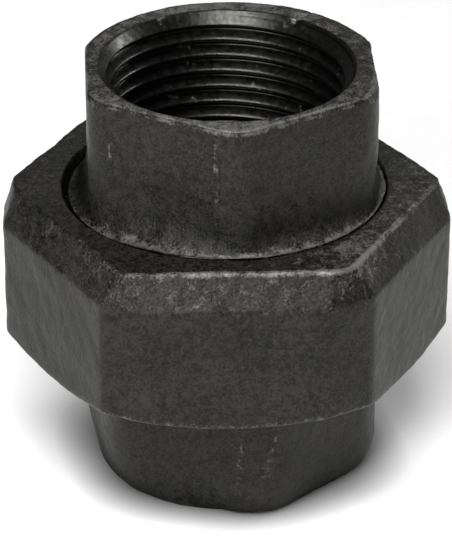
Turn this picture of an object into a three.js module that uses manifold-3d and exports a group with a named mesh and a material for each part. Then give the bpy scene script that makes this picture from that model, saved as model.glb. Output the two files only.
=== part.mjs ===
// A 1 inch pipe union: two threaded ends drawn together by a hexagonal union nut.
// Millimetres, +Z up along the pipe axis. The origin is the centre of the lower end face.
// All pieces are drawn with the union closed, so the nut is at the bottom of its travel.

import * as THREE from 'three';
import { mergeVertices } from 'three/addons/utils/BufferGeometryUtils.js';
import Module from 'manifold-3d';

const wasm = await Module();
wasm.setup();

// ---- Driving dimensions ---------------------------------------------------------------

const OVERALL_LENGTH = 58;
const CLEARANCE = 0.3; // between pieces that bear on each other

// Both thread pairs have 11 threads to the inch and the 55 degree form.
const PITCH = 25.4 / 11;
const FLANK = THREE.MathUtils.degToRad(27.5);
const STEPS_PER_TURN = 24;

// Female pipe threads, one in each end.
const PIPE_MAJOR_R = 33.249 / 2;
const PIPE_MINOR_R = 30.291 / 2;
const SOCKET_DEPTH = 17;
const WATERWAY_R = 14;

// Union thread, between the head and the nut. The crests and roots leave a running clearance.
const UNION_CREST_R = 24.2;
const UNION_ROOT_R = 22.87;
const NUT_CREST_R = 23.35;
const NUT_ROOT_R = 24.75;
const UNION_ROOT_HALF_WIDTH = 0.25;

// Union nut.
const NUT_APOTHEM = 27.5; // half of 55 across the flats
const NUT_CORNER_R = 29.8; // the corners are cut to small facets at this distance
const NUT_TOP = 40.8;
const NUT_HEIGHT = 22.1;
const NUT_HOLE_R = 21.5;
const LIP_THICKNESS = 3.6;
const NUT_TOP_BEVEL = { across: 2.45, along: 4.5 };
const NUT_FOOT_BEVEL = { across: 1.25, along: 1.4 };

// Tail, the upper end.
const TAIL_APOTHEM = 18.75; // half of 37.5 across the flats
const TAIL_CORNER_RADIUS = 5;
const TAIL_RIM_R = 19.4;
const COLLAR_R = 21.1;
const COLLAR_TOP = NUT_TOP - 0.2;
const COLLAR_FLARE = 3; // height of the hollow curve from the collar up to the flats
const FLANGE_R = 22.7;
const FLANGE_THICKNESS = 3.4;
const NOSE_R = 18.6;
const NOSE_DEPTH = 4.3; // below the underside of the flange

// Head, the lower end.
const HEAD_APOTHEM = 18.9; // half of 37.8 across the flats
const HEAD_CORNER_RADIUS = 6.5;
const HEAD_FOOT_ROUNDING = { across: 1.7, along: 3.4 };
const HEAD_SHOULDER_Z = 17.4;
const HEAD_THREAD_FOOT_Z = 20.6;
const SEAT_POCKET_R = 20.1;
const SEAT_POCKET_DEPTH = 6.2;

// Seat ring. Its cone is 45 degrees, as the tail's nose is.
const RING_BORE_R = 14.3;
const RING_CONE_R = 19;
const RING_HEIGHT = 5.4;
const RING_CONE_DEPTH = 3.3;

// The castings' turn about Z. At 0 a flat of the hexagon faces -Y.
const TAIL_TURN = 30;
const HEAD_TURN = 41;
const TAIL_THREAD_TURN = 130; // where the tail's pipe thread starts

// Heights that follow from those above.
const LIP_UNDERSIDE = NUT_TOP - LIP_THICKNESS;
const FLANGE_TOP = LIP_UNDERSIDE - CLEARANCE;
const FLANGE_FOOT = FLANGE_TOP - FLANGE_THICKNESS;
const NOSE_FOOT = FLANGE_FOOT - NOSE_DEPTH;
const HEAD_TOP = FLANGE_FOOT - 0.8;
const NUT_FOOT = NUT_TOP - NUT_HEIGHT;
const POCKET_FLOOR = HEAD_TOP - SEAT_POCKET_DEPTH;
const RING_FOOT = POCKET_FLOOR + CLEARANCE;

// ---- Solids ---------------------------------------------------------------------------

function signedVolume(positions, triangles) {
    let sum = 0;
    const [a, b, c] = [new THREE.Vector3(), new THREE.Vector3(), new THREE.Vector3()];
    for (let i = 0; i < triangles.length; i += 3) {
        a.fromArray(positions, 3 * triangles[i]);
        b.fromArray(positions, 3 * triangles[i + 1]);
        c.fromArray(positions, 3 * triangles[i + 2]);
        sum += a.dot(b.cross(c)) / 6;
    }
    return sum;
}

// The closed solid that a three.js geometry bounds, with its faces turned outwards.
function solidOf(geometry) {
    const bare = geometry.clone();
    bare.deleteAttribute('normal');
    bare.deleteAttribute('uv');
    const merged = mergeVertices(bare, 1e-4);
    const index = merged.index.array;
    let triangles = [];
    for (let i = 0; i < index.length; i += 3) {
        const [a, b, c] = [index[i], index[i + 1], index[i + 2]];
        if (a !== b && b !== c && c !== a) triangles.push(a, b, c);
    }
    const positions = merged.attributes.position.array;
    if (signedVolume(positions, triangles) < 0) triangles = triangles.reverse();
    const mesh = new wasm.Mesh({
        numProp: 3,
        vertProperties: Float32Array.from(positions),
        triVerts: Uint32Array.from(triangles),
    });
    return new wasm.Manifold(mesh);
}

function geometryOf(solid) {
    const { vertProperties, triVerts } = solid.getMesh();
    const geometry = new THREE.BufferGeometry();
    geometry.setAttribute('position', new THREE.BufferAttribute(vertProperties, 3));
    geometry.setIndex(new THREE.BufferAttribute(triVerts, 1));
    geometry.computeVertexNormals();
    return geometry;
}

// A turned solid. The profile lists [radius, height] pairs from one axis point to the other.
function turned(profile, segments = 2 * STEPS_PER_TURN) {
    const points = profile.map(([r, z]) => new THREE.Vector2(r, z));
    return solidOf(new THREE.LatheGeometry(points, segments).rotateX(Math.PI / 2));
}

function disc(radius, z0, z1, segments) {
    return turned([[0, z0], [radius, z0], [radius, z1], [0, z1]], segments);
}

// Points on a quarter of an ellipse, from (r0, z0) to (r1, z1), hollow towards (r1, z0).
function hollowCurve(r0, z0, r1, z1, count) {
    const points = [];
    for (let i = 0; i <= count; i += 1) {
        const t = (Math.PI / 2) * (i / count);
        points.push([r0 + (r1 - r0) * Math.sin(t), z0 + (z1 - z0) * (1 - Math.cos(t))]);
    }
    return points;
}

// ---- Hexagonal bars -------------------------------------------------------------------

// A hexagon with rounded corners and a flat facing -Y.
function roundedHexagon(apothem, radius) {
    const shape = new THREE.Shape();
    const centreR = (apothem - radius) / Math.cos(Math.PI / 6);
    for (let i = 0; i < 6; i += 1) {
        const a = (i * Math.PI) / 3;
        shape.absarc(centreR * Math.cos(a), centreR * Math.sin(a), radius, a - Math.PI / 6, a + Math.PI / 6);
    }
    return shape;
}

// A hexagon whose corners are cut off to flat facets, with a flat facing -Y.
function cutHexagon(apothem, cornerR) {
    const halfFlat = (cornerR - apothem * Math.cos(Math.PI / 6)) / Math.sin(Math.PI / 6);
    const points = [];
    for (let i = 0; i < 6; i += 1) {
        const a = ((i - 1.5) * Math.PI) / 3;
        for (const s of [-halfFlat, halfFlat]) {
            points.push(new THREE.Vector2(
                apothem * Math.cos(a) - s * Math.sin(a),
                apothem * Math.sin(a) + s * Math.cos(a),
            ));
        }
    }
    return new THREE.Shape(points);
}

// A bar of the given outline, with the same bevel or rounding at both of its ends.
function bar(outline, z0, z1, edge, edgeSegments = 1) {
    const geometry = new THREE.ExtrudeGeometry(outline, {
        depth: z1 - z0 - 2 * edge.along,
        bevelThickness: edge.along,
        bevelSize: edge.across,
        bevelOffset: -edge.across,
        bevelSegments: edgeSegments,
        curveSegments: 4,
    });
    return solidOf(geometry.translate(0, 0, z0 + edge.along));
}

// ---- Threads --------------------------------------------------------------------------

// A right-hand helix about Z, from a height of about start up to about end, in whole steps.
// The section swept along it stays in the axial plane. Over the first half turn the path
// comes in from an offset of fadeIn, so that a blind groove starts from nothing.
class ThreadPath extends THREE.Curve {
    constructor({ radius, start, end, phase = 0, fadeIn = 0 }) {
        super();
        this.radius = radius;
        this.phase = phase;
        this.fadeIn = fadeIn;
        this.firstStep = Math.round((start / PITCH) * STEPS_PER_TURN);
        this.steps = Math.round((end / PITCH) * STEPS_PER_TURN) - this.firstStep;
    }

    getPoint(t, target = new THREE.Vector3()) {
        const step = t * this.steps;
        const turn = (this.firstStep + step) / STEPS_PER_TURN;
        const angle = 2 * Math.PI * turn;
        const r = this.radius + this.fadeIn * Math.max(0, 1 - (2 * step) / STEPS_PER_TURN);
        return target.set(r * Math.cos(angle), r * Math.sin(angle), PITCH * turn + this.phase);
    }

    getPointAt(u, target) {
        return this.getPoint(u, target);
    }

    computeFrenetFrames(steps) {
        const frames = { tangents: [], normals: [], binormals: [] };
        for (let i = 0; i <= steps; i += 1) {
            const p = this.getPoint(i / steps);
            const radial = new THREE.Vector3(p.x, p.y, 0).normalize();
            const down = new THREE.Vector3(0, 0, -1);
            frames.normals.push(radial);
            frames.binormals.push(down);
            frames.tangents.push(radial.clone().cross(down));
        }
        return frames;
    }
}

// The groove that a thread tool cuts. It is narrow at the root and opens at the flank angle
// over the depth. A negative depth opens towards the axis, as in a female thread.
function groove(path, rootHalfWidth, depth) {
    const mouth = rootHalfWidth + Math.abs(depth) * Math.tan(FLANK);
    const section = new THREE.Shape([
        new THREE.Vector2(0, -rootHalfWidth),
        new THREE.Vector2(depth, -mouth),
        new THREE.Vector2(depth, mouth),
        new THREE.Vector2(0, rootHalfWidth),
    ]);
    return solidOf(new THREE.ExtrudeGeometry(section, {
        steps: path.steps,
        extrudePath: path,
        bevelEnabled: false,
    }));
}

// The space inside a pipe socket: a threaded bore with a countersunk mouth and the waterway
// beyond it. It is drawn going down from a mouth at z = 0.
function socketSpace() {
    const depth = PIPE_MAJOR_R - PIPE_MINOR_R;
    const bore = turned([
        [0, 1],
        [PIPE_MAJOR_R + 1, 1],
        [PIPE_MINOR_R, -depth],
        [PIPE_MINOR_R, -SOCKET_DEPTH],
        [WATERWAY_R, -SOCKET_DEPTH - 1.2],
        [WATERWAY_R, -SOCKET_DEPTH - 4],
        [0, -SOCKET_DEPTH - 4],
    ], STEPS_PER_TURN);
    const path = new ThreadPath({
        radius: PIPE_MAJOR_R,
        start: 1 - SOCKET_DEPTH,
        end: PITCH,
        fadeIn: -depth - 0.3,
    });
    return bore.add(groove(path, PITCH / 12, -depth - 0.3));
}

// ---- Pieces ---------------------------------------------------------------------------

function makeNut() {
    const outline = cutHexagon(NUT_APOTHEM, NUT_CORNER_R);
    const blank = bar(outline, NUT_FOOT - 10, NUT_TOP, NUT_TOP_BEVEL)
        .intersect(bar(outline, NUT_FOOT, NUT_TOP + 10, NUT_FOOT_BEVEL));
    const reliefFoot = HEAD_TOP + 0.4;
    const space = turned([
        [0, NUT_FOOT - 1],
        [NUT_ROOT_R + 1.3, NUT_FOOT - 1],
        [NUT_CREST_R, NUT_FOOT + 1],
        [NUT_CREST_R, reliefFoot],
        [NUT_ROOT_R + 0.1, reliefFoot + 1.2],
        [NUT_ROOT_R + 0.1, LIP_UNDERSIDE],
        [0, LIP_UNDERSIDE],
    ], STEPS_PER_TURN);
    const hole = disc(NUT_HOLE_R, LIP_UNDERSIDE - 1, NUT_TOP + 1);
    const path = new ThreadPath({
        radius: NUT_ROOT_R,
        start: NUT_FOOT - PITCH,
        end: reliefFoot + PITCH,
        phase: PITCH / 2,
    });
    const thread = groove(path, UNION_ROOT_HALF_WIDTH, NUT_CREST_R - NUT_ROOT_R - 0.2);
    return blank.subtract(space).subtract(hole).subtract(thread);
}

function makeTail() {
    const outline = roundedHexagon(TAIL_APOTHEM, TAIL_CORNER_RADIUS);
    const rimEdge = { across: 0.8, along: 1.2 };
    const hexagon = bar(outline, COLLAR_TOP - 3, OVERALL_LENGTH, rimEdge, 2)
        .rotate([0, 0, TAIL_TURN])
        .intersect(turned([
            [0, COLLAR_TOP - 4],
            [COLLAR_R, COLLAR_TOP - 4],
            [COLLAR_R, OVERALL_LENGTH - 1.4],
            [TAIL_RIM_R, OVERALL_LENGTH],
            [0, OVERALL_LENGTH],
        ]));
    const stem = turned([
        [0, NOSE_FOOT],
        [NOSE_R - 3, NOSE_FOOT],
        [NOSE_R, NOSE_FOOT + 3],
        [NOSE_R, FLANGE_FOOT],
        [FLANGE_R, FLANGE_FOOT],
        [FLANGE_R, FLANGE_TOP],
        [COLLAR_R, FLANGE_TOP],
        ...hollowCurve(COLLAR_R, COLLAR_TOP, TAIL_APOTHEM - 0.6, COLLAR_TOP + COLLAR_FLARE, 5),
        [0, COLLAR_TOP + COLLAR_FLARE],
    ]);
    const waterway = disc(WATERWAY_R, NOSE_FOOT - 1, OVERALL_LENGTH - 10, STEPS_PER_TURN);
    const socket = socketSpace()
        .rotate([0, 0, TAIL_THREAD_TURN])
        .translate([0, 0, OVERALL_LENGTH]);
    return hexagon.add(stem).subtract(waterway).subtract(socket);
}

function makeHead() {
    const outline = roundedHexagon(HEAD_APOTHEM, HEAD_CORNER_RADIUS);
    const hexagon = bar(outline, 0, HEAD_SHOULDER_Z + 10, HEAD_FOOT_ROUNDING, 4)
        .rotate([0, 0, HEAD_TURN])
        .intersect(disc(30, -1, HEAD_SHOULDER_Z + 1));
    const threadedEnd = turned([
        [0, HEAD_SHOULDER_Z],
        [HEAD_APOTHEM, HEAD_SHOULDER_Z],
        [UNION_ROOT_R - 0.3, HEAD_THREAD_FOOT_Z - 0.5],
        [UNION_ROOT_R - 0.3, HEAD_THREAD_FOOT_Z],
        [UNION_CREST_R, HEAD_THREAD_FOOT_Z + 0.9],
        [UNION_CREST_R, HEAD_TOP - 1.2],
        [UNION_ROOT_R, HEAD_TOP],
        [0, HEAD_TOP],
    ], STEPS_PER_TURN);
    const path = new ThreadPath({
        radius: UNION_ROOT_R,
        start: HEAD_THREAD_FOOT_Z - PITCH,
        end: HEAD_TOP + PITCH,
    });
    const thread = groove(path, UNION_ROOT_HALF_WIDTH, UNION_CREST_R - UNION_ROOT_R + 0.3);
    const waterway = disc(WATERWAY_R, 10, HEAD_TOP + 1, STEPS_PER_TURN);
    const pocket = disc(SEAT_POCKET_R, POCKET_FLOOR, HEAD_TOP + 1);
    const socket = socketSpace().rotate([180, 0, 0]);
    return hexagon.add(threadedEnd)
        .subtract(thread)
        .subtract(waterway)
        .subtract(pocket)
        .subtract(socket);
}

function makeSeatRing() {
    const top = RING_FOOT + RING_HEIGHT;
    const profile = [
        [RING_BORE_R, RING_FOOT],
        [SEAT_POCKET_R - CLEARANCE, RING_FOOT],
        [SEAT_POCKET_R - CLEARANCE, top],
        [RING_CONE_R, top],
        [RING_CONE_R - RING_CONE_DEPTH, top - RING_CONE_DEPTH],
        [RING_BORE_R, top - RING_CONE_DEPTH],
        [RING_BORE_R, RING_FOOT],
    ];
    return turned(profile);
}

// ---- Assembly -------------------------------------------------------------------------

const blackIron = { color: 0x2b2b2c, roughness: 0.62, metalness: 0.75 };
const brass = { color: 0xb08d4a, roughness: 0.35, metalness: 1 };

function piece(name, solid, finish) {
    const mesh = new THREE.Mesh(geometryOf(solid), new THREE.MeshStandardMaterial(finish));
    mesh.name = name;
    return mesh;
}

const union = new THREE.Group();
union.add(piece('union_head', makeHead(), blackIron));
union.add(piece('brass_seat_ring', makeSeatRing(), brass));
union.add(piece('union_tail', makeTail(), blackIron));
union.add(piece('union_nut', makeNut(), blackIron));

export default union;
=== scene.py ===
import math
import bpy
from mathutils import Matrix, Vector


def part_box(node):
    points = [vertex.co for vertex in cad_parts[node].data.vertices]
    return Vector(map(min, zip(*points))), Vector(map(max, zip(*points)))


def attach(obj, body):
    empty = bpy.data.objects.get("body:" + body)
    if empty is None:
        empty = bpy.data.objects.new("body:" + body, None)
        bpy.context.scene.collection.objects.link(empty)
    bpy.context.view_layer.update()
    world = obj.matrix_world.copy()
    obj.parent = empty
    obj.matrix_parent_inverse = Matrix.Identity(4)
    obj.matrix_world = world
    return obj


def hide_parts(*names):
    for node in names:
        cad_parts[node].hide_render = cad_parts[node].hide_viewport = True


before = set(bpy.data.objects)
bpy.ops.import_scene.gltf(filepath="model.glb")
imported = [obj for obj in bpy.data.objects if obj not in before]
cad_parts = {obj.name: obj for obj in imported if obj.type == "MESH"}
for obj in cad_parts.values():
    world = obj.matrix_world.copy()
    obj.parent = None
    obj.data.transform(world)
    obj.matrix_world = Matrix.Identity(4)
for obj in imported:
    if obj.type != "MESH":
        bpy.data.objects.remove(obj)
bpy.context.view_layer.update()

# The visible model of a 1 inch pipe union in black malleable iron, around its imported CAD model.
#
# Shapes are worked out in millimetres, and MM turns them into metres. Each casting is one
# closed skin: rows of points round the pipe axis, each with a radius and a height at every
# angle. The rows run once round the casting's cross-section: up the outside, in over the top,
# down the bore and out again under the foot. Heights and outer sizes come from the CAD nodes.

from types import SimpleNamespace

import bpy
import numpy as np
from mathutils import Quaternion, Vector

MM = 0.001
AROUND = 336  # points in each row
ANGLES = np.arange(AROUND) * 2 * math.pi / AROUND

IRON, CUT = 0, 1  # material slots of a casting: the cast skin and the cut surfaces
WEAR_REACH = 0.3  # how far wear spreads from a worn edge
BEND_STEP = 0.16  # the length of rounding that each row of a rounded edge covers
NONE_BETWEEN = 9  # a step so long that a stretch gets no rows of its own
SAND_LUMPS = ((10.0, 0.065), (3.2, 0.035), (1.3, 0.018))  # wavelengths and heights on a casting
SAND_DEPTH = 0.09  # how far the middle of that unevenness lies inside the smooth outline


# ---- Sizes, in millimetres --------------------------------------------------------------


def cad_size(node):
    """The half width along X and Y and the lowest and highest point of a CAD node."""
    low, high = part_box(node)
    return (high.x - low.x) / 2 / MM, (high.y - low.y) / 2 / MM, low.z / MM, high.z / MM


UNION_CREST_R, _, HEAD_FOOT, HEAD_TOP = cad_size("union_head")
FLANGE_R, _, TAIL_FOOT, TAIL_TOP = cad_size("union_tail")
NUT_CORNER_R, NUT_APOTHEM, NUT_FOOT, NUT_TOP = cad_size("union_nut")
RING_R, _, RING_FOOT, RING_TOP = cad_size("brass_seat_ring")

PITCH = 25.4 / 11
FLANK = math.radians(27.5)
PIPE_MAJOR_R = 33.249 / 2
PIPE_MINOR_R = 30.291 / 2
PIPE_ROOT_HALF = PITCH / 12
SOCKET_DEPTH = 17
SOCKET_RUN_OUT = 1.6  # the last stretch of a socket, where its thread runs out
MOUTH_R = 16.9
MOUTH_CHAMFER = 0.9  # how far the mouth's chamfer comes in for each millimetre of depth
WATERWAY_R = 14
WATERWAY_CHAMFER = 1.2

UNION_ROOT_R = 22.87
NUT_CREST_R = 23.35
NUT_ROOT_R = 24.75
UNION_ROOT_HALF = 0.25
NUT_HOLE_R = 21.55
LIP_UNDERSIDE = NUT_TOP - 3.6
NUT_RELIEF_FOOT = HEAD_TOP + 0.4
NUT_RELIEF_R = NUT_ROOT_R + 0.1

# The nut's flats and the facets that cut its corners, from the front one round by +X. As on
# any casting they aren't all alike.
NUT_BEVEL_ALONG = 4.5
NUT_BEVEL_ACROSS = (2.45, 2.5, 2.8, 2.4, 1.7, 2.4)
NUT_FACET_BEVEL = 1.5
NUT_FACET_R = (NUT_CORNER_R,) * 5 + (NUT_CORNER_R - 0.1,)
NUT_FACET_TURN = (0, 0, 0, 0, 0, 9)

TAIL_APOTHEM = 18.95
TAIL_CORNER = 5
TAIL_TURN = 30
TAIL_CENTRE = (0.4, 1.1)  # the hexagon was cast a little off the axis of the turned surfaces
TAIL_THREAD_TURN = 130
COLLAR_R = 21.1
COLLAR_TOP = NUT_TOP - 0.2
FLANGE_TOP = LIP_UNDERSIDE - 0.3
FLANGE_FOOT = FLANGE_TOP - 3.4
RIM_R = 19.82  # the edge of the turned top, where the hexagon reaches past it
NOSE_R = 18.6
NOSE_CONE = 3.0

HEAD_APOTHEM = 18.9
HEAD_CORNER = 8.0
HEAD_TURN = 41
HEAD_CENTRE = (0.45, 0)
HEAD_SHOULDER = 17.4
THREAD_FOOT = 20.6
THREAD_NECK_R = UNION_ROOT_R - 0.3
POCKET_R = 20.1
POCKET_FLOOR = HEAD_TOP - 6.2


# ---- Smooth shapes and random fields ----------------------------------------------------


def smoothstep(low, high, x):
    t = np.clip((x - low) / (high - low), 0, 1)
    return t * t * (3 - 2 * t)


def rounded_step(x, sharpness=7.5):
    """0 below 0, 1 above 1 and straight between, with both bends rounded."""
    return (np.logaddexp(0, sharpness * x) - np.logaddexp(0, sharpness * (x - 1))) / sharpness


def rounded_max(a, b, softness=0.1):
    """The larger of two radii, with the crease between them softened over about softness."""
    return np.logaddexp(a / softness, b / softness) * softness


def lumps(points, wavelength, seed, waves=32):
    """A smooth random field of about -1 to 1: plane waves near one wavelength, in mm."""
    random = np.random.default_rng(seed)
    direction = random.normal(size=(waves, 3))
    direction /= np.linalg.norm(direction, axis=1)[:, None]
    vector = direction * (2 * math.pi / (wavelength * random.uniform(0.7, 1.5, waves)))[:, None]
    phase = random.uniform(0, 2 * math.pi, waves)
    total = np.zeros(points.shape[:-1])
    for v, p in zip(vector, phase):
        total += np.sin(points @ v + p)
    return total / (1.6 * math.sqrt(waves / 2))


# ---- Outlines: a radius at every angle --------------------------------------------------


def facing(azimuth):
    """A horizontal unit vector. Azimuth 0 is -Y and 90 is +X, in degrees."""
    return np.array([math.sin(math.radians(azimuth)), -math.cos(math.radians(azimuth))])


RAYS = np.stack([np.cos(ANGLES), np.sin(ANGLES)], -1)


def rounded_hexagon(apothem, corner, turn, centre):
    """A hexagon with rounded corners about a centre. At turn 0 a flat faces -Y."""
    outline = np.full(AROUND, np.inf)
    for i in range(6):
        flat = facing(turn + 60 * i)
        towards = RAYS @ flat
        distance = apothem + np.dot(flat, centre)
        outline = np.where(towards > 0.1, np.minimum(outline, distance / np.maximum(towards, 0.1)), outline)
    for i in range(6):
        out = facing(turn + 30 + 60 * i)
        middle = np.array(centre) + out * (apothem - corner) / math.cos(math.pi / 6)
        along = RAYS @ middle
        reach = corner**2 - middle @ middle + along**2
        arc = along + np.sqrt(np.maximum(reach, 0))
        on_arc = (RAYS * arc[:, None] - middle) @ out > corner * math.cos(math.pi / 6)
        outline = np.where((reach > 0) & on_arc, arc, outline)
    return outline


def nut_outline(bevel, sharpness=300.0):
    """The nut's outline. bevel is the share of its top bevel that its sides have come in by."""
    total = np.zeros(AROUND)
    for i in range(6):
        flat = (NUT_APOTHEM - NUT_BEVEL_ACROSS[i] * bevel, 60 * i)
        facet = (NUT_FACET_R[i] - NUT_FACET_BEVEL * bevel, 60 * i + 30 + NUT_FACET_TURN[i])
        for distance, azimuth in (flat, facet):
            nearness = np.maximum(RAYS @ facing(azimuth), 0) * NUT_APOTHEM / distance
            total = total + nearness**sharpness
    return NUT_APOTHEM * total ** (-1 / sharpness)


def thread(z, root, crest, root_half, turn):
    """A right-hand thread at height z. turn is the angle where its groove is at height 0."""
    turns = z / PITCH - (ANGLES - math.radians(turn)) / (2 * math.pi)
    from_groove = np.abs(turns - np.round(turns)) * PITCH
    rise = (from_groove - root_half) / (abs(crest - root) * math.tan(FLANK))
    return root + (crest - root) * rounded_step(rise)


# ---- Skins ------------------------------------------------------------------------------


class Skin:
    """The corners of a cross-section in order, and the rows of points they give."""

    def __init__(self):
        self.corners = []

    def at(self, r, z, rounding=0.0, wear_and_shade=0.0, finish=IRON, step=0.45, rough=1.0, worn=0.0, bend=None):
        """Adds a corner with its wear_and_shade: wear, and painted shade where it is below 0. The rest is
        for the stretch that follows it.

        worn is the wear all over that stretch, and painted shade where it is below 0. bend gives its radius
        at a share of it, where it isn't straight.
        """
        point = np.stack([np.broadcast_to(r, AROUND), np.broadcast_to(z, AROUND)], -1)
        self.corners.append(
            SimpleNamespace(
                point=point.astype(float),
                rounding=np.broadcast_to(rounding, AROUND).astype(float),
                wear_and_shade=np.broadcast_to(wear_and_shade, AROUND),
                finish=finish,
                step=step,
                rough=rough,
                worn=worn,
                bend=bend,
            )
        )

    def along(self, i, share):
        """The points at a share of the stretch that follows corner i."""
        here, there = self.corners[i], self.corners[(i + 1) % len(self.corners)]
        points = here.point + (there.point - here.point) * share[:, None]
        if here.bend:
            points[:, 0] = here.bend(share)
        return points

    def rows(self):
        """Row points, the wear and painted shade at each point, the finish after each row, and its
        roughness.
        """
        count = len(self.corners)
        points = [c.point for c in self.corners]
        length = [np.linalg.norm(points[(i + 1) % count] - p, axis=1) + 1e-6 for i, p in enumerate(points)]
        cut = [
            np.minimum(c.rounding, 0.48 * np.minimum(length[i - 1], length[i]))
            for i, c in enumerate(self.corners)
        ]
        made = SimpleNamespace(points=[], wear_and_shade=[], finish=[], rough=[])

        def add(row, wear_and_shade, finish, rough):
            made.points.append(row)
            made.wear_and_shade.append(wear_and_shade)
            made.finish.append(finish)
            made.rough.append(rough)

        for i, corner in enumerate(self.corners):
            previous, following = self.corners[i - 1], self.corners[(i + 1) % count]
            start = self.along(i - 1, 1 - cut[i] / length[i - 1])
            end = self.along(i, cut[i] / length[i])
            bends = int(math.ceil(corner.rounding.max() / BEND_STEP))
            for j in range(bends + 1):
                u = j / bends if bends else 1.0
                row = (1 - u) ** 2 * start + 2 * u * (1 - u) * corner.point + u**2 * end
                finish = corner.finish if u > 0.5 else previous.finish
                add(row, corner.wear_and_shade, finish, corner.rough if u > 0.5 else previous.rough)
            next_cut = cut[(i + 1) % count]
            open_length = length[i] - cut[i] - next_cut
            parts = max(1, int(round(open_length.max() / corner.step)))
            for j in range(1, parts):
                share = (cut[i] + open_length * j / parts) / length[i]
                from_here = corner.wear_and_shade * np.exp(-((share * length[i] / WEAR_REACH) ** 2))
                from_next = following.wear_and_shade * np.exp(-(((1 - share) * length[i] / WEAR_REACH) ** 2))
                wear_and_shade = np.maximum(from_here + from_next, corner.worn)
                add(self.along(i, share), wear_and_shade, corner.finish, corner.rough)
        return np.array(made.points), np.array(made.wear_and_shade), np.array(made.finish), np.array(made.rough)


def in_space(rows):
    """Rows of (radius, height) as points in millimetres."""
    r, z = rows[..., 0], rows[..., 1]
    return np.stack([r * np.cos(ANGLES), r * np.sin(ANGLES), z], -1)


def outward(points):
    """Unit normals of a skin, which closes on itself both ways. They point out of the metal."""
    along = np.roll(points, -1, 0) - np.roll(points, 1, 0)
    around = np.roll(points, -1, 1) - np.roll(points, 1, 1)
    normal = np.cross(around, along)
    return normal / (np.linalg.norm(normal, axis=-1)[..., None] + 1e-9)


def casting(name, skin, materials, seed, marks, node):
    """A closed mesh from a skin, with the unevenness of a sand casting and its small marks.

    It stays within the height of its CAD node.
    """
    _, _, foot, top = cad_size(node)
    rows, wear_and_shade, finish, rough = skin.rows()
    points = in_space(rows)
    for _ in range(3):
        rough = (np.roll(rough, 1) + 2 * rough + np.roll(rough, -1)) / 4
    uneven = sum(depth * lumps(points, wave, seed + i) for i, (wave, depth) in enumerate(SAND_LUMPS))
    height = np.minimum(uneven - SAND_DEPTH, 0) * rough[:, None]
    for mark in marks:
        spot = mark_field(points, mark)
        height = height + mark.height * spot
        wear_and_shade = wear_and_shade + mark.wear_and_shade * spot
    points = points + outward(points) * height[..., None]
    points[..., 2] = np.clip(points[..., 2], foot, top)
    return mesh_piece(name, points, finish, wear_and_shade, rough, materials)


def mark_field(points, mark):
    """1 in the middle of a mark on a casting and 0 away from it."""
    angle = np.arctan2(points[..., 1], points[..., 0]) - math.radians(mark.angle)
    angle = np.mod(angle + math.pi, 2 * math.pi) - math.pi
    radius = np.hypot(points[..., 0], points[..., 1])
    across = (angle * radius + mark.lean * (points[..., 2] - mark.z)) / mark.width
    up = (points[..., 2] - mark.z) / mark.length
    inside = smoothstep(mark.r - 1.5, mark.r - 0.8, radius)
    broken = smoothstep(-0.7, 0.1, lumps(points, 1.2, mark.seed))
    return np.exp(-(across**2) - up**4) * inside * broken


def mark(angle, z, r, width, length, height, wear_and_shade, seed, lean=0.0):
    """A ridge or dent centred at an angle and a height, outside radius r. Sizes are half sizes.

    Angle 0 is +X and -90 is -Y, in degrees. lean is how far it goes left for each millimetre up.
    """
    return SimpleNamespace(
        angle=angle,
        z=z,
        r=r,
        width=width,
        length=length,
        height=height,
        wear_and_shade=wear_and_shade,
        seed=seed,
        lean=lean,
    )


def mesh_piece(name, points, finish, wear_and_shade, rough, materials):
    """An object made of rows of points, joined into a ring both ways."""
    count = len(points)
    row = np.arange(count)[:, None] * AROUND
    next_row = (np.arange(count)[:, None] + 1) % count * AROUND
    column = np.arange(AROUND)[None, :]
    next_column = (column + 1) % AROUND
    corners = (row + column, row + next_column, next_row + next_column, next_row + column)
    quads = np.stack(corners, -1).reshape(-1, 4)
    mesh = bpy.data.meshes.new(name)
    mesh.vertices.add(count * AROUND)
    mesh.vertices.foreach_set("co", (points * MM).astype(np.float32).reshape(-1))
    mesh.loops.add(quads.size)
    mesh.loops.foreach_set("vertex_index", quads.astype(np.int32).reshape(-1))
    mesh.polygons.add(len(quads))
    mesh.polygons.foreach_set("loop_start", np.arange(0, quads.size, 4, dtype=np.int32))
    mesh.polygons.foreach_set("material_index", np.repeat(finish, AROUND).astype(np.int32))
    mesh.polygons.foreach_set("use_smooth", np.ones(len(quads), bool))
    for attribute, values in (("wear_and_shade", wear_and_shade), ("rough", rough[:, None])):
        data = mesh.attributes.new(attribute, "FLOAT", "POINT").data
        data.foreach_set("value", np.broadcast_to(values, (count, AROUND)).astype(np.float32).reshape(-1))
    mesh.update()
    mesh.validate()
    for material in materials:
        mesh.materials.append(material)
    piece = bpy.data.objects.new(name, mesh)
    bpy.context.collection.objects.link(piece)
    return piece


# ---- The pieces' cross-sections ---------------------------------------------------------


def socket_rows(mouth, inwards, turn, step):
    """Rows of a threaded socket, step apart from its mouth in. inwards is 1 or -1, along Z."""
    rows = []
    for i in range(int(SOCKET_DEPTH / step)):
        depth = (i + 0.5) * step
        cut = thread(inwards * depth, PIPE_MAJOR_R, PIPE_MINOR_R, PIPE_ROOT_HALF, turn)
        full = smoothstep(SOCKET_DEPTH, SOCKET_DEPTH - SOCKET_RUN_OUT, depth)
        cut = PIPE_MINOR_R + (cut - PIPE_MINOR_R) * full
        rows.append((rounded_max(cut, MOUTH_R - MOUTH_CHAMFER * depth, 0.04), mouth + inwards * depth))
    return rows


def add_rows(skin, rows):
    """Adds ready rows of a thread, with nothing between them."""
    for r, z in rows:
        skin.at(r, z, finish=CUT, step=NONE_BETWEEN, rough=0.04)


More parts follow.
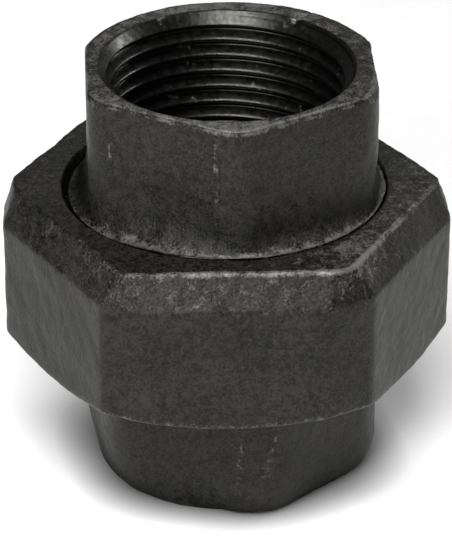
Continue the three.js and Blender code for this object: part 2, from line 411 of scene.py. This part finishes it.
def nut_skin():
    side = nut_outline(0)
    foot_land = np.minimum(side - 0.7, NUT_APOTHEM - 0.3)
    foot_edge = NUT_FOOT + 0.35 + 0.42 * (side - NUT_APOTHEM)  # higher at the corners
    hole = NUT_HOLE_R + 0.35 * (RAYS @ facing(-65))  # it was cored a little off the axis
    mouth_r = NUT_ROOT_R + 0.3
    front, left = RAYS @ facing(20), RAYS @ facing(-100)
    knocked = 0.35 + 0.4 * np.maximum(front, 0) - 0.3 * np.maximum(left, 0)
    bruised = 0.04 + 0.26 * (RAYS @ facing(0))
    skin = Skin()
    skin.at(mouth_r, NUT_FOOT, 0.15, finish=CUT, rough=0.3)
    skin.at(foot_land, NUT_FOOT, 0.3, wear_and_shade=0.3)
    skin.at(side, foot_edge, 0.45, wear_and_shade=0.42)
    skin.at(side, NUT_TOP - NUT_BEVEL_ALONG, 0.35, wear_and_shade=0.2, rough=1.6, worn=bruised, bend=nut_outline)
    # Over the top: a little wear all over, with painted shade darkening it towards the left and painted
    # light, as bare metal, towards the right.
    skin.at(nut_outline(1), NUT_TOP, 0.4, wear_and_shade=knocked, rough=1.2, worn=0.1 - 0.25 * left)
    skin.at(hole, NUT_TOP, 0.3, rough=0.3)
    skin.at(hole, LIP_UNDERSIDE, 0.2, finish=CUT, rough=0.1)
    skin.at(NUT_RELIEF_R, LIP_UNDERSIDE, 0.3, finish=CUT, rough=0.1)
    skin.at(NUT_RELIEF_R, NUT_RELIEF_FOOT + 1.2, 0.1, finish=CUT, rough=0.1)
    rows = []
    step = PITCH / 12
    for i in range(int((NUT_RELIEF_FOOT - NUT_FOOT) / step)):
        z = NUT_RELIEF_FOOT - i * step
        cut = thread(z - PITCH / 2, NUT_ROOT_R, NUT_CREST_R, UNION_ROOT_HALF, 0)
        rows.append((np.maximum(cut, mouth_r - (z - NUT_FOOT)), z))
    add_rows(skin, rows)
    return skin


def tail_skin():
    side = rounded_hexagon(TAIL_APOTHEM, TAIL_CORNER, TAIL_TURN, TAIL_CENTRE)
    front, left = RAYS @ facing(0), RAYS @ facing(-90)
    turned_rim = np.minimum(RIM_R + 0.42 * (RAYS @ facing(62)), side - 0.3)
    rim_wear = 0.42 + 0.06 * left + 0.22 * front**2
    edge_wear = 0.2 + 0.4 * np.maximum(front, 0)
    flare_width = COLLAR_R - side
    flare_height = 6.0 + 0.6 * (RAYS @ facing(30))
    collar_top = COLLAR_TOP - smoothstep(0.3, 1.0, RAYS @ facing(-95))  # 1 mm lower at the left
    # Painted shade: darkens the hollow of the flare, most towards the right front and at the left.
    painted_shade = 0.6 * smoothstep(-0.2, 0.8, RAYS @ facing(35)) + 0.45 * smoothstep(0.4, 1.0, left)
    # Bare worn metal at the foot of the flare, partly painted light: it is kept to the lit front and right
    # and left off the shaded left.
    flare_wear_and_light = 0.75 * smoothstep(-0.35, 0.35, RAYS @ facing(15))
    skin = Skin()
    skin.at(WATERWAY_R, TAIL_FOOT, 0.2, finish=CUT, rough=0.1)
    skin.at(NOSE_R - NOSE_CONE, TAIL_FOOT, 0.2, finish=CUT, rough=0.02)
    skin.at(NOSE_R, TAIL_FOOT + NOSE_CONE, 0.2, finish=CUT, rough=0.05)
    skin.at(NOSE_R, FLANGE_FOOT, 0.2, finish=CUT, rough=0.05)
    skin.at(FLANGE_R, FLANGE_FOOT, 0.3, finish=CUT, rough=0.1)
    skin.at(FLANGE_R, FLANGE_TOP, 0.3, finish=CUT, rough=0.1)
    skin.at(COLLAR_R, FLANGE_TOP, 0.2, finish=CUT, rough=0.2)
    skin.at(COLLAR_R, collar_top - 0.1, 0.1, wear_and_shade=0.1)
    steps = 16
    for i in range(steps + 1):
        turned = math.pi / 2 * i / steps
        r = COLLAR_R - flare_width * math.sin(turned)
        z = collar_top + flare_height * (1 - math.cos(turned))
        # Each row of the flare: bare metal and painted light near its foot, painted shade in its hollow.
        wear_and_shade = flare_wear_and_light * math.cos(turned) ** 2 - painted_shade * math.sin(2 * turned) ** 2
        skin.at(r, z, wear_and_shade=wear_and_shade, step=NONE_BETWEEN, rough=2.0)
    skin.at(side, COLLAR_TOP + flare_height + 0.5)
    skin.at(side, TAIL_TOP - 1.3 * (side - turned_rim), 0.4, step=0.3, wear_and_shade=edge_wear)
    skin.at(turned_rim, TAIL_TOP, 0.35, wear_and_shade=0.5 + 0.3 * front, step=0.3, rough=0.6, worn=rim_wear)
    skin.at(MOUTH_R, TAIL_TOP, 0.2, wear_and_shade=0.1, finish=CUT, rough=0.3)
    add_rows(skin, socket_rows(TAIL_TOP, -1, TAIL_THREAD_TURN, PITCH / 16))
    socket_end = TAIL_TOP - SOCKET_DEPTH
    skin.at(PIPE_MINOR_R, socket_end, finish=CUT, rough=0.1)
    skin.at(WATERWAY_R, socket_end - WATERWAY_CHAMFER, 0.3, step=1.5, rough=0.8)
    return skin


def head_skin():
    side = rounded_hexagon(HEAD_APOTHEM, HEAD_CORNER, HEAD_TURN, HEAD_CENTRE)
    left = np.maximum(RAYS @ facing(-62), 0) ** 2  # the foot is rounder at the left
    foot_edge = np.maximum(side - 1.6 - 1.2 * left, MOUTH_R + 0.5)
    skin = Skin()
    skin.at(MOUTH_R, HEAD_FOOT, 0.12, finish=CUT, rough=0.3)
    skin.at(foot_edge, HEAD_FOOT, 1.0, wear_and_shade=0.2, step=0.3)
    skin.at(side, HEAD_FOOT + 3.2 + 2.8 * left, 2.4 + 2 * left)
    skin.at(side, HEAD_SHOULDER + 0.4, 0.8)
    skin.at(THREAD_NECK_R, THREAD_FOOT - 0.5, 0.3, finish=CUT, rough=0.2)
    rows = []
    step = PITCH / 10
    for i in range(int((HEAD_TOP - THREAD_FOOT) / step)):
        z = THREAD_FOOT + i * step
        cut = thread(z, UNION_ROOT_R, UNION_CREST_R, UNION_ROOT_HALF, 0)
        foot_chamfer = THREAD_NECK_R + 1.8 * (z - THREAD_FOOT)
        top_chamfer = UNION_CREST_R + 1.1 * (HEAD_TOP - 1.2 - z)
        rows.append((np.minimum(np.minimum(cut, foot_chamfer), top_chamfer), z))
    add_rows(skin, rows)
    skin.at(UNION_ROOT_R, HEAD_TOP, 0.2, wear_and_shade=0.3, finish=CUT, rough=0.1)
    skin.at(POCKET_R, HEAD_TOP, 0.2, wear_and_shade=0.2, finish=CUT, rough=0.1)
    skin.at(POCKET_R, POCKET_FLOOR, 0.2, finish=CUT, rough=0.1)
    skin.at(WATERWAY_R, POCKET_FLOOR, 0.3, step=1.5, rough=0.8)
    skin.at(WATERWAY_R, SOCKET_DEPTH + WATERWAY_CHAMFER, 0.3, finish=CUT, rough=0.1)
    add_rows(skin, reversed(socket_rows(HEAD_FOOT, 1, 0, PITCH / 12)))
    return skin


def ring_skin():
    bore, cone, cone_depth = 14.3, 19.0, 3.3  # two radii, and how deep the cone goes
    skin = Skin()
    skin.at(bore, RING_FOOT, 0.25)
    skin.at(RING_R, RING_FOOT, 0.3)
    skin.at(RING_R, RING_TOP, 0.25)
    skin.at(cone, RING_TOP, 0.2)
    skin.at(cone - cone_depth, RING_TOP - cone_depth, 0.3)
    skin.at(bore, RING_TOP - cone_depth, 0.25)
    for corner in skin.corners:
        corner.rough = 0.02
    return skin


# ---- Materials --------------------------------------------------------------------------


class Tree:
    """A material's nodes. A value is a number, a colour or another node's output."""

    def __init__(self, name):
        self.material = bpy.data.materials.new(name)
        self.material.use_nodes = True
        self.nodes = self.material.node_tree.nodes
        self.links = self.material.node_tree.links
        self.shader = self.nodes["Principled BSDF"]
        self.place = self.add("ShaderNodeTexCoord").outputs["Object"]

    def put(self, socket, value):
        if isinstance(value, bpy.types.NodeSocket):
            self.links.new(value, socket)
        else:
            socket.default_value = value

    def add(self, kind, inputs=(), **settings):
        node = self.nodes.new(kind)
        for name, value in settings.items():
            setattr(node, name, value)
        for name, value in dict(inputs).items():
            self.put(node.inputs[name], value)
        return node

    def math(self, operation, *values):
        return self.add("ShaderNodeMath", enumerate(values), operation=operation).outputs[0]

    def noise(self, size, detail=3.0, roughness=0.55, at=None):
        """A noise of about 0 to 1 whose features are about size metres across."""
        inputs = {
            "Vector": at or self.place,
            "Scale": 1 / size,
            "Detail": detail,
            "Roughness": roughness,
        }
        return self.add("ShaderNodeTexNoise", inputs).outputs["Fac"]

    def remap(self, value, low, high, to_low=0.0, to_high=1.0, smooth=True):
        inputs = {"Value": value, "From Min": low, "From Max": high, "To Min": to_low, "To Max": to_high}
        kind = "SMOOTHSTEP" if smooth else "LINEAR"
        return self.add("ShaderNodeMapRange", inputs, interpolation_type=kind).outputs["Result"]

    def attribute(self, name):
        return self.add("ShaderNodeAttribute", attribute_name=name).outputs["Fac"]

    def blend(self, share, a, b):
        """A colour between a and b."""
        node = self.add("ShaderNodeMix", data_type="RGBA")
        self.put(node.inputs[0], share)
        self.put(node.inputs[6], a)
        self.put(node.inputs[7], b)
        return node.outputs[2]

    def bump(self, height, distance, strength=1.0, under=None):
        """Bumps whose full height is distance metres."""
        node = self.add("ShaderNodeBump", {"Height": height, "Distance": distance, "Strength": strength})
        if under:
            self.put(node.inputs["Normal"], under)
        return node.outputs["Normal"]

    def turned(self):
        """Coordinates that change along a radius and along Z, and hardly round the axis."""
        split = self.add("ShaderNodeSeparateXYZ", {0: self.place}).outputs
        x2 = self.math("MULTIPLY", split[0], split[0])
        radius = self.math("SQRT", self.math("MULTIPLY_ADD", split[1], split[1], x2))
        angle = self.math("MULTIPLY", self.math("ARCTAN2", split[1], split[0]), 0.0006)
        return self.add("ShaderNodeCombineXYZ", {0: radius, 1: split[2], 2: angle}).outputs[0]

    def finish(self, **inputs):
        for name, value in inputs.items():
            self.put(self.shader.inputs[name.replace("_", " ")], value)
        return self.material


def grey(value, warmth=0.0):
    return (value * (1 + warmth), value, value * (1 - 2 * warmth), 1.0)


def cast_iron():
    """Black-lacquered malleable iron as cast: a fine sandy grain, with bare metal at worn edges.

    Below 0, the wear_and_shade value is painted shade in a hollow: the skin is blended towards black.
    """
    tree = Tree("black_cast_iron")
    mottle = tree.noise(0.0011, 5.0, 0.65)
    scuffs = tree.noise(0.0013, 3.0, 0.5)
    patches = tree.noise(0.0075, 3.0)
    grain = tree.noise(0.00032, 2.0)
    fine = tree.math("ADD", tree.math("MULTIPLY", mottle, 0.5), tree.math("MULTIPLY", grain, 0.5))
    shade = tree.math("ADD", tree.math("MULTIPLY", fine, 0.85), tree.math("MULTIPLY", patches, 0.15))
    skin = tree.blend(tree.remap(shade, 0.39, 0.61), grey(0.001, 0.03), grey(0.017, 0.05))
    wear_and_shade = tree.attribute("wear_and_shade")
    uneven = tree.math("SUBTRACT", tree.math("ADD", scuffs, tree.math("MULTIPLY", grain, 0.8)), 0.9)
    # The bare-metal share. On the tail's flare and the right of the nut's top it also paints light.
    worn = tree.remap(tree.math("MULTIPLY_ADD", uneven, 1.3, wear_and_shade), 0.3, 1.1)
    # Painted shade: where wear_and_shade is below 0, the skin is blended towards black.
    skin = tree.blend(tree.remap(wear_and_shade, -0.5, 0.0, smooth=False), grey(0.0), skin)
    colour = tree.blend(worn, skin, grey(0.13, 0.03))
    coarse = tree.attribute("rough")
    under = tree.bump(mottle, 0.00018, tree.remap(coarse, 0.5, 2.0, 0.15, 1.0, smooth=False))
    normal = tree.bump(grain, 0.00007, 1.0, under)
    return tree.finish(
        Base_Color=colour,
        Metallic=tree.math("MULTIPLY", worn, 0.5),
        Roughness=tree.remap(mottle, 0.3, 0.7, 0.38, 0.5),
        Specular_IOR_Level=0.2,
        Specular_Tint=(1.0, 0.99, 0.88, 1.0),
        Normal=normal,
    )


def cut_iron():
    """Turned and threaded iron under the same thin lacquer: glossy black, bare where it is worn."""
    tree = Tree("black_cut_iron")
    turned = tree.turned()
    lines = tree.noise(0.00022, 2.0, at=turned)
    mottle = tree.noise(0.0009, 2.0, 0.5)
    patches = tree.noise(0.0035, 3.0)
    uneven = tree.math("SUBTRACT", tree.math("ADD", mottle, patches), 1.0)
    worn_at = tree.math("MULTIPLY_ADD", uneven, 1.2, tree.attribute("wear_and_shade"))
    worn = tree.remap(worn_at, 0.25, 1.0)
    bare = tree.blend(tree.remap(patches, 0.35, 0.65), grey(0.12, 0.02), grey(0.38, 0.02))
    normal = tree.bump(lines, 0.00001, 1.0)
    normal = tree.bump(mottle, 0.00003, 1.0, normal)
    return tree.finish(
        Base_Color=tree.blend(worn, grey(0.001), bare),
        Metallic=tree.math("MULTIPLY", worn, 0.8),
        Roughness=tree.remap(mottle, 0.3, 0.7, 0.26, 0.4),
        Specular_IOR_Level=0.34,
        Specular_Tint=(1.0, 0.99, 0.92, 1.0),
        Normal=normal,
    )


def turned_brass():
    tree = Tree("turned_brass")
    lines = tree.noise(0.00018, 2.0, at=tree.turned())
    patches = tree.noise(0.003, 4.0, 0.6)
    colour = tree.blend(patches, (0.42, 0.29, 0.11, 1), (0.62, 0.46, 0.20, 1))
    return tree.finish(
        Base_Color=colour,
        Metallic=1.0,
        Roughness=tree.remap(patches, 0.3, 0.7, 0.25, 0.42),
        Normal=tree.bump(lines, 0.00003, 0.6),
    )


def floor_paper():
    tree = Tree("floor_paper")
    fibre = tree.noise(0.004, 4.0)
    paper = tree.blend(fibre, grey(0.85), grey(0.88))
    # Painted contact shadow: the ambient occlusion node darkens the paper towards grey close to the union.
    shade = tree.add("ShaderNodeAmbientOcclusion", {"Distance": 0.006}).outputs["AO"]
    return tree.finish(
        Base_Color=tree.blend(tree.remap(shade, 0.3, 1.0, smooth=False), grey(0.15), paper),
        Roughness=0.9,
        Specular_IOR_Level=0.1,
    )


# ---- Making the object ------------------------------------------------------------------


def tail_marks():
    seam = mark(-97, TAIL_TOP - 5.8, 18, width=0.4, length=5.2, height=0.12, wear_and_shade=0.7, seed=11, lean=0.03)
    scar = mark(-143.6, TAIL_TOP - 6.6, 17, width=0.3, length=2.0, height=0.12, wear_and_shade=0.9, seed=12, lean=0.1)
    nick = mark(54, TAIL_TOP, 16.8, width=0.45, length=0.7, height=-0.35, wear_and_shade=0.2, seed=13)
    return seam, scar, nick


def nut_marks():
    dent = mark(-156, NUT_TOP - 1.2, 26, width=1.6, length=1.4, height=-0.5, wear_and_shade=0.3, seed=21)
    rubbed = mark(-52, NUT_TOP, 23, width=5.0, length=2.5, height=-0.12, wear_and_shade=0.35, seed=22)
    return dent, rubbed


def head_marks():
    seam = mark(-87.5, 8.8, 18, width=0.4, length=4.4, height=0.08, wear_and_shade=0.6, seed=31, lean=-0.08)
    chips = mark(-75.5, 10.6, 18, width=0.8, length=4.2, height=0.08, wear_and_shade=0.65, seed=32, lean=-0.28)
    return seam, chips


def make_pieces():
    iron = (cast_iron(), cut_iron())
    brass = (turned_brass(),)
    table = (
        ("union_nut_casting", nut_skin(), iron, 5, nut_marks(), "union_nut", "nut", "black_iron"),
        ("union_tail_casting", tail_skin(), iron, 6, tail_marks(), "union_tail", "tail", "black_iron"),
        ("union_head_casting", head_skin(), iron, 7, head_marks(), "union_head", "head", "black_iron"),
        ("seat_ring", ring_skin(), brass, 8, (), "brass_seat_ring", "head", "seat_brass"),
    )
    for name, skin, materials, seed, marks, node, body, slot in table:
        piece = casting(name, skin, materials, seed, marks, node)
        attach(piece, body)
        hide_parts(node)


def make_floor():
    half = 3.0
    mesh = bpy.data.meshes.new("floor")
    corners = [(-half, -half, 0), (half, -half, 0), (half, half, 0), (-half, half, 0)]
    mesh.from_pydata(corners, [], [(0, 1, 2, 3)])
    mesh.materials.append(floor_paper())
    floor = bpy.data.objects.new("floor", mesh)
    bpy.context.collection.objects.link(floor)


def direction(azimuth, elevation):
    """A unit vector. Azimuth 0 points to -Y, at the viewer, and 90 to +X, in degrees."""
    a, e = math.radians(azimuth), math.radians(elevation)
    return Vector((math.sin(a) * math.cos(e), -math.cos(a) * math.cos(e), math.sin(e)))


LIGHTS_AIM = Vector((0, 0, 0.03))  # about the middle of the nut


def softbox(name, azimuth, elevation, distance, size, power):
    """A rectangular area light that faces the nut from distance metres away."""
    data = bpy.data.lights.new(name, "AREA")
    data.shape = "RECTANGLE"
    data.size, data.size_y = size
    data.energy = power
    light = bpy.data.objects.new(name, data)
    bpy.context.collection.objects.link(light)
    towards = direction(azimuth, elevation)
    light.location = LIGHTS_AIM + towards * distance
    light.rotation_mode = "QUATERNION"
    light.rotation_quaternion = (-towards).to_track_quat("-Z", "Y")


def make_world():
    """A pale studio that is dimmer overhead than at the horizon."""
    horizon, overhead = 0.12, 0.06  # strengths
    overhead_from = 0.9  # the height on the unit sky that counts as overhead
    world = bpy.data.worlds.new("studio")
    bpy.context.scene.world = world
    world.use_nodes = True
    nodes, links = world.node_tree.nodes, world.node_tree.links
    place = nodes.new("ShaderNodeTexCoord")
    split = nodes.new("ShaderNodeSeparateXYZ")
    links.new(place.outputs["Generated"], split.inputs[0])
    height = nodes.new("ShaderNodeMapRange")
    height.inputs["From Min"].default_value = 0.0
    height.inputs["From Max"].default_value = overhead_from
    height.inputs["To Min"].default_value = horizon
    height.inputs["To Max"].default_value = overhead
    links.new(split.outputs["Z"], height.inputs["Value"])
    links.new(height.outputs["Result"], nodes["Background"].inputs["Strength"])
    nodes["Background"].inputs["Color"].default_value = (1, 1, 1, 1)


def make_lights():
    softbox("high_front", -12, 60, 0.6, (0.35, 0.22), 4.5)
    softbox("low_front", -22, 26, 0.5, (0.35, 0.2), 1.9)
    softbox("right", 116, 26, 1.2, (0.25, 0.22), 3.2)
    softbox("back", 165, 52, 1.4, (0.6, 0.4), 3.65)


def make_camera():
    """The photograph's view: a long lens 0.44 m away, looking down at the front."""
    elevation, azimuth, distance, roll = 29.24, -2.8, 0.4394, 0.345
    lens = 212.26
    aim = Vector((-0.00003, 0, 0.02627))
    camera = bpy.data.objects.new("camera", bpy.data.cameras.new("camera"))
    bpy.context.collection.objects.link(camera)
    camera.data.lens = lens
    camera.data.clip_start = 0.01
    camera.data.clip_end = 20
    towards = direction(azimuth, elevation)
    camera.location = aim + towards * distance
    camera.rotation_mode = "QUATERNION"
    level = (-towards).to_track_quat("-Z", "Y")
    camera.rotation_quaternion = level @ Quaternion((0, 0, 1), math.radians(roll))
    bpy.context.scene.camera = camera


make_camera()
make_pieces()
make_floor()
make_world()
make_lights()
bpy.context.scene.view_settings.view_transform = "Standard"
